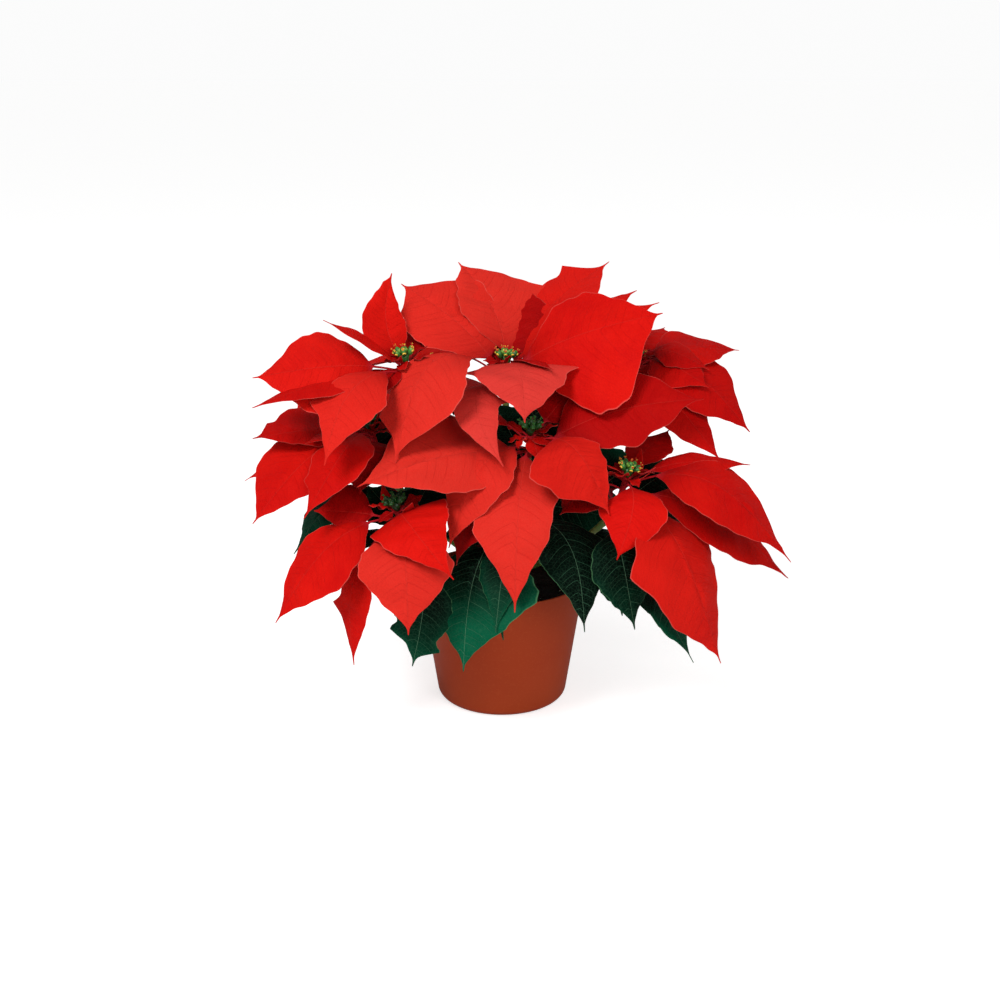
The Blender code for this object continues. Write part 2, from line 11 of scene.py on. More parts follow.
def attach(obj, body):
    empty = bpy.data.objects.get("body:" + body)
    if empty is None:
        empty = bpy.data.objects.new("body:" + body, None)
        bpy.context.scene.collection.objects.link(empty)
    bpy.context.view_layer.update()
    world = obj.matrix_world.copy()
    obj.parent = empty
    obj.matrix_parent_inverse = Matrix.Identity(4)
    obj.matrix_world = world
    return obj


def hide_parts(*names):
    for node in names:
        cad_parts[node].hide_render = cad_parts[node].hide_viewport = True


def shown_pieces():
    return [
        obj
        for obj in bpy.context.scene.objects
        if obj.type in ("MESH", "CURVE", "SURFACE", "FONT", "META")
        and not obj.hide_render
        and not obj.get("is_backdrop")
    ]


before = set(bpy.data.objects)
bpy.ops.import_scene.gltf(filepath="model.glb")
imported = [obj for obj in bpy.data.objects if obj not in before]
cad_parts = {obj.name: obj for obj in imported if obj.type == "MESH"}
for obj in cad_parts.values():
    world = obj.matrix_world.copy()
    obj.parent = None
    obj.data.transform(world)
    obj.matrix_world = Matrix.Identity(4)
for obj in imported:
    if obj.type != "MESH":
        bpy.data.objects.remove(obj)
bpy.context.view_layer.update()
mm = 0.001
up = np.array((0.0, 0.0, 1.0))
print("frame loaded:", len(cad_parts), "nodes")


# camera, floor and light
camera = {
    "place": (-2, -1300, 620),  # mm
    "pitch": 17.8,  # degrees below level
    "lens": 50.4,
    "sensor": 36,
}
studio = {
    "sky": 0.36,  # soft light from all round
    "backdrop": 0.97,
    "floor": (0.82, 0.82, 0.815),
    "floorGlow": 0.67,  # for the camera only, so that the floor looks as white as the backdrop
    "floorSize": 60,  # m
    "lights": [
        # name, place in m, size in m, power in W
        ("key", (-1.1, -1.5, 2.2), 1.0, 47),
        ("fill", (0.9, -1.8, 1.1), 1.4, 16),
    ],
    "aim": (0, 0, 0.24),
}


def newObject(name, data):
    made = bpy.data.objects.new(name, data)
    bpy.context.scene.collection.objects.link(made)
    return made


def addCamera():
    data = bpy.data.cameras.new("camera")
    data.lens = camera["lens"]
    data.sensor_width = camera["sensor"]
    made = newObject("camera", data)
    made.location = Vector(camera["place"]) * mm
    made.rotation_euler = (math.radians(90 - camera["pitch"]), 0, 0)
    bpy.context.scene.camera = made
    bpy.context.scene.view_settings.view_transform = "Standard"


def addLights():
    for name, place, size, power in studio["lights"]:
        data = bpy.data.lights.new(name, "AREA")
        data.shape = "DISK"
        data.size = size
        data.energy = power
        made = newObject(name, data)
        made.location = place
        toward = Vector(studio["aim"]) - Vector(place)
        made.rotation_euler = toward.to_track_quat("-Z", "Y").to_euler()
    world = bpy.data.worlds.new("studio")
    bpy.context.scene.world = world
    world.use_nodes = True
    tree = world.node_tree
    sky = tree.nodes["Background"]
    paper = tree.nodes.new("ShaderNodeBackground")  # what is seen behind the plant
    for shade, strength in ((sky, studio["sky"]), (paper, studio["backdrop"])):
        shade.inputs["Strength"].default_value = strength
        shade.inputs["Color"].default_value = (1, 1, 1, 1)
    seen = tree.nodes.new("ShaderNodeLightPath")
    swap = tree.nodes.new("ShaderNodeMixShader")
    tree.links.new(seen.outputs["Is Camera Ray"], swap.inputs[0])
    tree.links.new(sky.outputs[0], swap.inputs[1])
    tree.links.new(paper.outputs[0], swap.inputs[2])
    tree.links.new(swap.outputs[0], tree.nodes["World Output"].inputs["Surface"])


def addFloor():
    mesh = bmesh.new()
    bmesh.ops.create_grid(mesh, x_segments=1, y_segments=1, size=studio["floorSize"] / 2)
    floor = meshObject("floor", mesh, 1)
    finish = Finish("floor", {}, Base_Color=studio["floor"], Roughness=0.9, Emission_Color=(1, 1, 1))
    seen = finish.node("LightPath", {}, {}, "Is Camera Ray")
    finish.setAll(Emission_Strength=seen * studio["floorGlow"])
    floor.data.materials.append(finish.material)
    floor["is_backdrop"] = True


# shader maths
class Wire:
    # a socket that can be reckoned with like a number

    def __init__(self, finish, socket):
        self.finish = finish
        self.socket = socket

    def reckon(self, operation, *values):
        inputs = dict(enumerate(values))
        return self.finish.node("Math", {"operation": operation}, inputs)

    def __add__(self, other):
        return self.reckon("ADD", self, other)

    def __radd__(self, other):
        return self.reckon("ADD", other, self)

    def __sub__(self, other):
        return self.reckon("SUBTRACT", self, other)

    def __rsub__(self, other):
        return self.reckon("SUBTRACT", other, self)

    def __mul__(self, other):
        return self.reckon("MULTIPLY", self, other)

    def __rmul__(self, other):
        return self.reckon("MULTIPLY", other, self)

    def nearest(self):
        # how far it is from the nearest whole number
        return self.reckon("PINGPONG", self, 0.5)

    def ramp(self, low, high):
        # a soft step from 0 at low to 1 at high
        inputs = {0: self, 1: low, 2: high}
        return self.finish.node("MapRange", {"interpolation_type": "SMOOTHSTEP"}, inputs)


class Finish:
    # a material on one Principled shader, with other colours laid over its base colour

    def __init__(self, name, colours, **fixed):
        self.material = bpy.data.materials.new(name)
        self.material.use_nodes = True
        self.tree = self.material.node_tree
        self.shader = self.tree.nodes["Principled BSDF"]
        self.colours = colours
        self.colour = colours.get("base")
        self.setAll(**fixed)

    def setAll(self, **values):
        for name, value in values.items():
            self.set(self.shader.inputs[name.replace("_", " ")], value)

    def set(self, socket, value):
        if isinstance(value, Wire):
            self.tree.links.new(value.socket, socket)
        elif socket.type == "RGBA" and len(value) == 3:
            socket.default_value = (*value, 1)
        else:
            socket.default_value = value

    def node(self, kind, settings, inputs, output=0):
        made = self.tree.nodes.new("ShaderNode" + kind)
        for name, value in settings.items():
            if name == "stops":
                self.setStops(made.color_ramp, value)
            else:
                setattr(made, name, value)
        for name, value in inputs.items():
            self.set(made.inputs[name], value)
        return Wire(self, made.outputs[output])

    def setStops(self, ramp, stops):
        while len(ramp.elements) < len(stops):
            ramp.elements.new(0.5)
        for element, (place, colour) in zip(ramp.elements, stops):
            element.position = place
            element.color = (*colour, 1)

    def attribute(self, name):
        return self.node("Attribute", {"attribute_name": name}, {}, "Fac")

    def place(self):
        return self.node("TexCoord", {}, {}, "Object")

    def noise(self, scale, detail, roughness=0.5):
        inputs = {"Vector": self.place(), "Scale": scale, "Detail": detail, "Roughness": roughness}
        return self.node("TexNoise", {}, inputs, "Fac")

    def streaks(self, fineness):
        # fine lines between the side veins of a blade and along them
        run = self.attribute("veins") * fineness
        parts = {0: run, 1: self.attribute("rib") * 0.12, 2: self.attribute("tone") * 20}
        inputs = {"Vector": self.node("CombineXYZ", {}, parts), "Scale": 1, "Detail": 3}
        return self.node("TexNoise", {}, inputs)

    def cells(self, scale):
        # how far a point is from the edge of its cell
        inputs = {"Vector": self.place(), "Scale": scale}
        return self.node("TexVoronoi", {"feature": "DISTANCE_TO_EDGE"}, inputs, "Distance")

    def lay(self, name, share):
        # another of its colours over those laid before
        inputs = {0: share, 6: self.colour, 7: self.colours[name]}
        self.colour = self.node("Mix", {"data_type": "RGBA"}, inputs, 2)

    def pick(self, stops, tint):
        # its colour from a scale, by the tint
        self.colour = self.node("ValToRGB", {"stops": stops}, {0: tint})

    def give(self, roughness, relief, distance):
        # the finished material, its relief as high as distance in mm where relief is 1
        bump = self.node("Bump", {}, {"Distance": distance * mm, "Height": relief})
        self.setAll(Base_Color=self.colour, Roughness=roughness, Normal=bump)
        return self.material


# meshes
def meshObject(name, mesh, scale=mm):
    # an object from a bmesh, which is in mm unless a scale is given
    data = bpy.data.meshes.new(name)
    mesh.to_mesh(data)
    mesh.free()
    data.transform(Matrix.Scale(scale, 4))
    return newObject(name, data)


def joined(name, parts):
    # one object from several
    first = parts[0]
    with bpy.context.temp_override(active_object=first, object=first, selected_editable_objects=parts):
        bpy.ops.object.join()
    first.name = name
    first.data.name = name
    return first


def keep(values, mesh, name):
    # a value for each vertex, for the material to read
    layer = mesh.attributes.new(name, "FLOAT", "POINT")
    layer.data.foreach_set("value", np.broadcast_to(values, len(mesh.vertices)).astype(np.float32))


def finishPiece(piece, material, slot, *nodes):
    piece.data.materials.clear()
    piece.data.materials.append(material)
    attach(piece, "root")
    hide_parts(*nodes)


def newTube(name, path, radii, sides):
    # a closed round tube along a path, with a radius at each point, in mm
    curve = bpy.data.curves.new(name, "CURVE")
    curve.dimensions = "3D"
    curve.bevel_depth = 1
    curve.bevel_resolution = sides // 2 - 2
    curve.use_fill_caps = True
    spline = curve.splines.new("POLY")
    spline.points.add(len(path) - 1)
    for point, place, radius in zip(spline.points, path, radii):
        point.co = (*place, 1)
        point.radius = radius
    guide = newObject(name, curve)
    mesh = bmesh.new()
    mesh.from_mesh(guide.to_mesh())
    bpy.data.objects.remove(guide)
    bmesh.ops.remove_doubles(mesh, verts=mesh.verts, dist=0.001)
    bmesh.ops.recalc_face_normals(mesh, faces=mesh.faces)
    made = meshObject(name, mesh)
    made.data.shade_smooth()
    made.data.set_sharp_from_angle(angle=math.radians(50))
    return made


def addCone(mesh, segments, foot, top, depth, turn):
    # a closed cone or cylinder in a bmesh, its middle at the turn's place
    return bmesh.ops.create_cone(
        mesh, cap_ends=True, segments=segments, radius1=foot, radius2=top, depth=depth, matrix=turn
    )["verts"]


def smooth(value, low, high):
    share = np.clip((value - low) / (high - low), 0, 1)
    return share * share * (3 - 2 * share)


# the plant's own shape: the same values and lines as in the CAD model, in mm
plant = {
    "gap": 0.35,
    "trunkRadius": 6.5,
    "trunkTop": 168,
    "trunkFoot": 70,
    "branchRadius": 3.2,
    "branchReach": 14,
    "branchLead": 4,
    "hubRadius": 3,
    "hubStep": 1.7,
    "hubEnd": 3,
    "hubTop": 7.5,
    "bractInset": 1.6,
    "outward": 0.0022,  # how much more a bloom leans for each mm that it is out from the middle
    "uprightEnd": 0.45,  # of a branch's rise, how long its top end runs straight
}

# tip: where it ends. width: its full width. bow: how far it arches. roll: its turn about its
# length, positive with the right-hand edge up. fold: the angle of each half. sway: how far it
# swings to the right. lean: how much of the width is on the right. stalk: its length before it
# widens. peak: where the arch is highest. widest: where it is widest. teeth: corners of its
# edge, where and how far out, minus on the left.
Blade = namedtuple(
    "Blade",
    "tip width bow roll fold sway lean stalk peak widest teeth",
    defaults=(12, 0, -6, 0, 0, 24, 0.42, 0.42, ()),
)
# middle: where the flowers sit. root: the height at which its branch leaves the trunk. leaves: each
# with its place along the branch.
Bloom = namedtuple("Bloom", "middle root bracts leaves")

blooms = {
    "left": Bloom((-91, -20, 350), 150, [
        Blade((-112, -50, 318), 24, 6, stalk=8),
        Blade((-104, 22, 420), 46, -6, -6, 10, -11, -0.15, stalk=12, widest=0.34, teeth=((0.88, -3),)),
        Blade((-42, 42, 338), 32, 3),
        Blade((-162, -45, 388), 34, 4, 12, 4, stalk=14),
        Blade((-226, -60, 338), 98, 14, 40, -6, lean=-0.04, stalk=34),
        Blade((-155, -130, 276), 58, 26, 14, sway=16, lean=-0.2, teeth=((0.55, 12),)),
        Blade((-222, -92, 318), 54, 12, 6),
        Blade((-88, 74, 376), 40, 8),
    ], [
        (0.8, Blade((-70, -75, 262), 56, 14)),
        (0.72, Blade((-148, 66, 232), 52, 16)),
        (0.6, Blade((-90, 60, 230), 60, 16)),
        (0.9, Blade((-98, 50, 270), 46, 8)),
        (0.75, Blade((-154, 36, 266), 44, 6, 36)),
        (0.94, Blade((-40, -8, 306), 52, 6, -25)),
    ]),
    "middle": Bloom((4, 10, 342), plant["trunkTop"] + plant["gap"], [
        Blade((46, -58, 345), 26, 8, 10, 0, stalk=8),
        Blade((-16, 30, 356), 18, -4, stalk=8),
        Blade((48, 12, 340), 14, 3, stalk=8),
        Blade((20, -98, 306), 86, 26, 0, 0, -4, widest=0.34, teeth=((0.3, 14), (0.3, -13))),
        Blade((149, -10, 388), 138, 18, -46, -10, lean=0.22, widest=0.5),
        Blade((-43, 88, 421), 94, 8, 0, 6, 12, 0.22, widest=0.5, teeth=((0.5, 14), (0.84, -9))),
        Blade((150, 30, 391), 80, 16, -24, lean=0.3),
        Blade((-98, 60, 404), 100, 12, 30, 0, 4, 0.1, widest=0.55, teeth=((0.8, -10),)),
        Blade((22, 95, 398), 86, 8, 0, 6),
        Blade((-96, -95, 268), 86, 58, 0, -6, 12, -0.26, widest=0.6, teeth=((0.76, 12),)),
        Blade((132, 70, 396), 74, 20, -14, lean=0.3),
        Blade((106, 92, 421), 92, 14, 0, 6, -10, 0.14, widest=0.55, teeth=((0.8, -20),)),
        Blade((1, -120, 272), 42, 28, 0, -6, 26, teeth=((0.35, -8),)),
    ], [
        (0.8, Blade((74, 6, 276), 58, 5, -35)),
        (0.62, Blade((-72, 20, 262), 56, 12)),
        (0.5, Blade((-30, -62, 236), 56, 12)),
        (0.5, Blade((62, -6, 240), 48, 8, -35)),
        (0.35, Blade((114, 0, 183), 64, 6, -40)),
        (0.93, Blade((-44, 46, 286), 60, 5, 35)),
        (0.9, Blade((56, 44, 280), 60, 5, -35)),
    ]),
    "front": Bloom((26, -55, 290), 142, [
        Blade((33, -92, 268), 18, 6, stalk=8),
        Blade((46, -82, 278), 22, 6, stalk=8),
        Blade((72, 4, 318), 56, 6, -30),
        Blade((-24, -42, 306), 20, 4, 10),
        Blade((95, -120, 228), 88, 32, -6, -4, 0, 0.4, teeth=((0.34, -6), (0.7, 8))),
        Blade((11, -152, 147), 72, 36, 0, lean=0.14, stalk=16, teeth=((0.55, 4), (0.27, -11))),
        Blade((-48, -118, 195), 72, 34, 8, stalk=12),
        Blade((-42, -106, 174), 82, 24),
        Blade((-129, -110, 250), 116, 16, 26, lean=0.2, stalk=14, peak=0.5),
        Blade((185, -50, 316), 84, 12, -44, sway=-9, lean=-0.14, stalk=28, teeth=((0.5, 4), (0.75, 4))),
    ], [
        (0.95, Blade((-8, -14, 304), 58, 4, 30)),
        (0.78, Blade((0, -6, 266), 50, 5)),
        (0.85, Blade((-36, -20, 260), 46, 6, 18)),
        (0.62, Blade((-58, -50, 180), 48, 8, 30)),
        (0.62, Blade((-35, -150, 89), 106, 34, sway=7, lean=-0.16, stalk=50, widest=0.36)),
        (0.55, Blade((-6, -150, 127), 44, 30, stalk=34)),
        (0.45, Blade((1, -135, 113), 52, 34, -20, stalk=34)),
        (0.6, Blade((74, -140, 123), 68, 34, stalk=22, sway=-10, teeth=((0.35, -7), (0.6, -5)))),
    ]),
    "right": Bloom((117, -60, 251), 130, [
        Blade((140, -74, 258), 8, -4, stalk=8),
        Blade((130, -40, 266), 10, -6, stalk=8),
        Blade((90, -75, 262), 24, 5, stalk=8),
        Blade((231, -50, 253), 40, 14, -14),
        Blade((101, -140, 192), 62, 26, 0, sway=-12),
        Blade((262, -108, 178), 92, 44, -14),
        Blade((52, -98, 220), 60, 14, lean=-0.12),
        Blade((161, 2, 273), 50, 10),
        Blade((199, -132, 89), 108, 40, sway=20, lean=0.05, stalk=32, widest=0.36, teeth=((0.34, 12),)),
        Blade((271, -60, 144), 80, 26, -20),
    ], [
        (0.88, Blade((108, 20, 246), 52, 8)),
        (0.8, Blade((121, -120, 117), 62, 30, sway=6, stalk=20)),
        (0.5, Blade((179, -100, 75), 62, 30, lean=-0.2, stalk=34, teeth=((0.8, -8),))),
        (0.6, Blade((113, -80, 114), 50, 24, stalk=26)),
        (0.4, Blade((150, 30, 140), 60, 24, stalk=26)),
        (0.9, Blade((180, -16, 206), 70, 8, -30)),
        (0.94, Blade((82, -8, 262), 60, 6, 35)),
        (0.93, Blade((178, 8, 240), 56, 6, -35)),
    ]),
    "lower": Bloom((-97, -90, 228), 126, [
        Blade((-80, -112, 236), 8, -3, stalk=8),
        Blade((-110, -70, 240), 8, -5, stalk=8),
        Blade((-42, -170, 185), 74, 26, -22, -6, 6, -0.08, stalk=8, widest=0.24, teeth=((0.13, -9),)),
        Blade((-203, -140, 132), 78, 28, 14, lean=-0.12),
        Blade((-82, -172, 134), 84, 34),
        Blade((-171, -92, 222), 50, 6, 40, lean=0.3),
        Blade((-135, -132, 87), 38, 34, lean=-0.2, stalk=30, teeth=((0.54, 11),)),
    ], [
        (0.88, Blade((-66, -20, 232), 56, 8)),
        (0.7, Blade((-82, -130, 85), 54, 26, sway=-9, stalk=28, teeth=((0.8, -12), (0.68, 11)))),
        (0.8, Blade((-128, -34, 229), 44, 5, 25)),
        (0.6, Blade((-195, -60, 160), 60, 26)),
        (0.5, Blade((-120, 10, 130), 56, 24)),
    ]),
    "back_right": Bloom((130, 55, 334), 148, [
        Blade((199, 20, 328), 44, 20, -20),
        Blade((196, -4, 316), 62, 16, -20),
        Blade((238, 0, 271), 84, 30, -18),
        Blade((236, 72, 336), 84, 14, -14, lean=-0.2),
        Blade((206, -42, 253), 58, 20, -10, sway=6),
        Blade((170, 145, 345), 64, 14, stalk=8, widest=0.3),
        Blade((95, 120, 360), 60, 10),
        Blade((225, 110, 300), 64, 20),
    ], [
        (0.62, Blade((212, 52, 190), 56, 20)),
        (0.7, Blade((170, 130, 200), 56, 24)),
        (0.5, Blade((110, 90, 150), 56, 24)),
    ]),
    "far_left": Bloom((-127, -10, 283), 134, [
        Blade((-179, -72, 280), 30, 6),
        Blade((-226, -100, 212), 76, 26, 16, lean=0.24, widest=0.56),
        Blade((-175, -130, 227), 58, 26, 0, sway=-8, teeth=((0.7, 5),)),
        Blade((-229, -60, 281), 68, 10, 20, lean=0.3, teeth=((0.8, 8),)),
        Blade((-128, -98, 240), 80, 16),
        Blade((-250, 0, 222), 70, 16, 10),
        Blade((-210, 70, 290), 62, 14),
        Blade((-150, 100, 300), 60, 12),
    ], [
        (0.8, Blade((-190, 70, 180), 56, 24)),
        (0.65, Blade((-165, 80, 160), 56, 24)),
        (0.72, Blade((-196, -62, 169), 66, 24, sway=14)),
    ]),
    "back_left": Bloom((-70, 120, 312), 154, [
        Blade((-60, 245, 280), 76, 24),
        Blade((-165, 190, 285), 74, 22),
        Blade((-176, 118, 292), 60, 8),
        Blade((20, 200, 300), 66, 20),
        Blade((-5, 130, 342), 56, 8),
        Blade((-115, 190, 325), 66, 14),
        Blade((-110, 235, 225), 70, 24),
        Blade((-20, 240, 220), 66, 24),
    ], [
        (0.85, Blade((-150, 170, 190), 60, 24)),
        (0.75, Blade((-70, 215, 170), 60, 24)),
        (0.6, Blade((-95, 120, 140), 60, 24)),
    ]),
    "back": Bloom((84, 130, 312), 158, [
        Blade((90, 250, 290), 76, 24),
        Blade((190, 190, 280), 74, 22),
        Blade((5, 175, 335), 60, 16),
        Blade((150, 235, 235), 70, 24),
        Blade((40, 240, 230), 66, 24),
        Blade((140, 175, 335), 64, 12),
        Blade((182, 66, 312), 62, 6, -30),
        Blade((60, 215, 325), 64, 14),
        Blade((215, 150, 235), 66, 22),
    ], [
        (0.85, Blade((170, 180, 180), 60, 24)),
        (0.75, Blade((85, 215, 165), 60, 24)),
        (0.6, Blade((50, 130, 140), 60, 24)),
    ]),
}


sheet = {
    "swell": 0.8,  # how a blade widens from its foot: less is quicker
    "narrow": 1.3,  # how it narrows towards its tip
    "end": 0.97,  # where its margins meet, before the thin tip
    "toothSpan": 0.1,
    "toothPoint": 1.4,
    "stalkHalfWidth": 1.1,  # mm
    "stalkHalfDepth": 0.9,
    "tip": 0.45,
    "tipTaper": 12,
    "thickness": 0.45,
    "rowStep": 1.9,  # between the rows of a blade's mesh
    "rows": (16, 64),
    "columnStep": 3.2,
    "halfColumns": (4, 12),
    "crowding": 1.35,  # how much closer the columns are near the midrib
    "midrib": 4,  # mm, how far from the middle the veins begin
    "jags": (23, 51),  # two runs of waves that make the outline uneven
    "saw": 8.5,  # small teeth on each side
    "ripples": (11, 9),  # mm
}


def unit(vector):
    return vector / np.linalg.norm(vector)


def bladeAxes(foot, blade):
    # the line from foot to tip, and the blade's right-hand and upward directions
    line = np.array(blade.tip, float) - foot
    heading = unit(np.array((line[0], line[1], 0.0)))
    side = unit(np.cross(heading, up))
    face = unit(np.cross(side, line))
    turn = math.radians(blade.roll)
    rolledSide = side * math.cos(turn) + face * math.sin(turn)
    rolledFace = face * math.cos(turn) - side * math.sin(turn)
    return line, rolledSide, rolledFace


def bladeEdge(blade, share, hand):
    # how far the edge is from the midrib
    rising = np.sin(np.pi / 2 * np.clip(share / blade.widest, 0, 1)) ** sheet["swell"]
    left = np.clip((sheet["end"] - share) / (sheet["end"] - blade.widest), 0, 1)
    falling = np.sin(np.pi / 2 * left) ** sheet["narrow"]
    edge = blade.width / 2 * (1 + hand * blade.lean) * np.where(share < blade.widest, rising, falling)
    for place, jut in blade.teeth:
        near = np.clip(1 - abs(share - place) / sheet["toothSpan"], 0, 1)
        tooth = abs(jut) * near ** sheet["toothPoint"]
        edge = edge + np.where(jut * hand > 0, tooth, 0)
    dripTip = sheet["tip"] + sheet["tipTaper"] * (1 - share)
    return np.maximum(edge, np.where(share < blade.widest, sheet["stalkHalfWidth"], dripTip))


def bloomAxis(bloom):
    x, y, _ = bloom.middle
    return unit(np.array((x * plant["outward"], y * plant["outward"], 1.0)))


def hubPoint(bloom, order):
    drop = plant["hubTop"] + plant["hubEnd"] + plant["hubStep"] * order
    return np.array(bloom.middle, float) - bloomAxis(bloom) * drop


def bractFoot(bloom, order):
    centre = hubPoint(bloom, order)
    return centre + unit((bloom.bracts[order].tip - centre) * (1, 1, 0)) * plant["bractInset"]


def hubEnds(bloom):
    top = np.array(bloom.middle, float) - bloomAxis(bloom) * plant["hubTop"]
    return hubPoint(bloom, len(bloom.bracts) - 1) - bloomAxis(bloom) * plant["hubEnd"], top


def branchEnds(bloom):
    outward = unit(np.array((bloom.middle[0], bloom.middle[1], 0.0)))
    root = up * bloom.root
    top = hubEnds(bloom)[0] - bloomAxis(bloom) * plant["gap"]
    if bloom.root > plant["trunkTop"]:
        return root, up, top, bloomAxis(bloom)
    return root + outward * (plant["trunkRadius"] + plant["gap"]), outward, top, bloomAxis(bloom)


def branchPoint(bloom, share):
    root, outward, top, axis = branchEnds(bloom)
    start = root + outward * plant["branchLead"]
    leaving = root + outward * plant["branchReach"]
    arriving = top - axis * plant["uprightEnd"] * (top[2] - bloom.root)
    end = top - axis * plant["branchLead"]
    rest = 1 - share
    bend = leaving * 3 * share * rest**2 + arriving * 3 * share**2 * rest
    return start * rest**3 + bend + end * share**3


# how bracts and leaves differ
bractShape = {
    "veins": 12,  # side veins from foot to tip
    "slope": 0.3,  # how steeply they run
    "arch": 0.8,  # how much they turn towards the tip
    "pucker": 0.6,  # mm between the veins
    "wander": 0.3,  # how unevenly the veins are spaced
    "jag": 0.012,  # of the width, how uneven the outline is
    "teeth": 0,  # mm
    "wave": 0.016,  # of the width, at the edge
    "ripple": 0.010,  # of the width, all over
    "curl": 0.03,
    "twist": 5,  # degrees at the tip
    "ridge": 0.7,  # mm, the midrib below
}
leafShape = {
    "veins": 16,
    "slope": 0.22,
    "arch": 1.0,
    "pucker": 1.1,
    "wander": 0.2,
    "jag": 0.012,
    "teeth": 1.1,
    "wave": 0.03,
    "ripple": 0.012,
    "curl": 0.02,
    "twist": 8,
    "ridge": 1.1,
}
innerShape = {
    **bractShape,
    "veins": 5,
    "pucker": 0.25,
    "wave": 0.13,
    "curl": 0.12,
    "twist": 30,
    "ridge": 0.3,
}
inner = {  # the smallest bracts, round the flowers
    "count": 9,
    "reach": (17, 30),  # mm
    "rise": (-6, 13),
    "width": (9, 15),
    "roll": 30,  # degrees
    # painted shade: the small inner bracts are all given a dark tone
    "tone": (-1, -0.3),
}


def bladeMesh(columns, rows):
    # a flat closed sheet from -1 to 1 each way, with its upper side at a height of 1
    mesh = bmesh.new()
    bmesh.ops.create_grid(mesh, x_segments=columns, y_segments=rows, size=1)
    extruded = bmesh.ops.extrude_face_region(mesh, geom=mesh.faces[:])
    upper = [piece for piece in extruded["geom"] if isinstance(piece, bmesh.types.BMVert)]
    bmesh.ops.translate(mesh, verts=upper, vec=(0, 0, 1))
    bmesh.ops.recalc_face_normals(mesh, faces=mesh.faces)
    for face in mesh.faces:
        face.smooth = abs(face.calc_center_median().z - 0.5) > 0.4
    return mesh


# how pale a bract is painted, up to 1, as painted highlight and sheen, or how dark, down to -1, as
# painted shade: for a whole bloom, then for single bracts
bractLightAndShade = {
    "left": (0.1, {0: -0.7, 5: 0.45, 6: -0.3, 7: -0.6}),
    "middle": (0.2, {0: -0.5, 3: 1.1, 4: -0.03, 5: 0.75, 7: 0.65, 8: -0.7, 9: 0.7, 12: 1.0}),
    "front": (-0.5, {1: -0.6, 2: -0.8, 4: 0.4, 5: 0.75, 6: 0.7, 7: -0.8, 8: 0.75}),
    "right": (0, {3: -0.2, 5: -0.12, 6: -0.7, 7: -0.4, 8: 0.25, 9: -0.25}),
    "lower": (0, {4: 0.7, 5: -0.7}),
    "back_right": (-0.32, {}),
    "far_left": (-0.12, {0: -0.4, 3: -0.45, 4: -1}),
    "back_left": (0.1, {}),
    "back": (0.1, {}),
}
# how much painted light a leaf gets towards its tip and margins; the rest of it keeps the leaves'
# painted shade
leafPaintedLight = 0.2
leafPaintedLights = {  # painted light for single leaves
    ("front", 4): 0.9,
    ("front", 5): 0.1,
    ("front", 7): -0.35,
    ("lower", 1): 0.1,
    ("right", 1): -0.1,
    ("right", 2): 0.3,
    ("far_left", 2): 0.8,
}


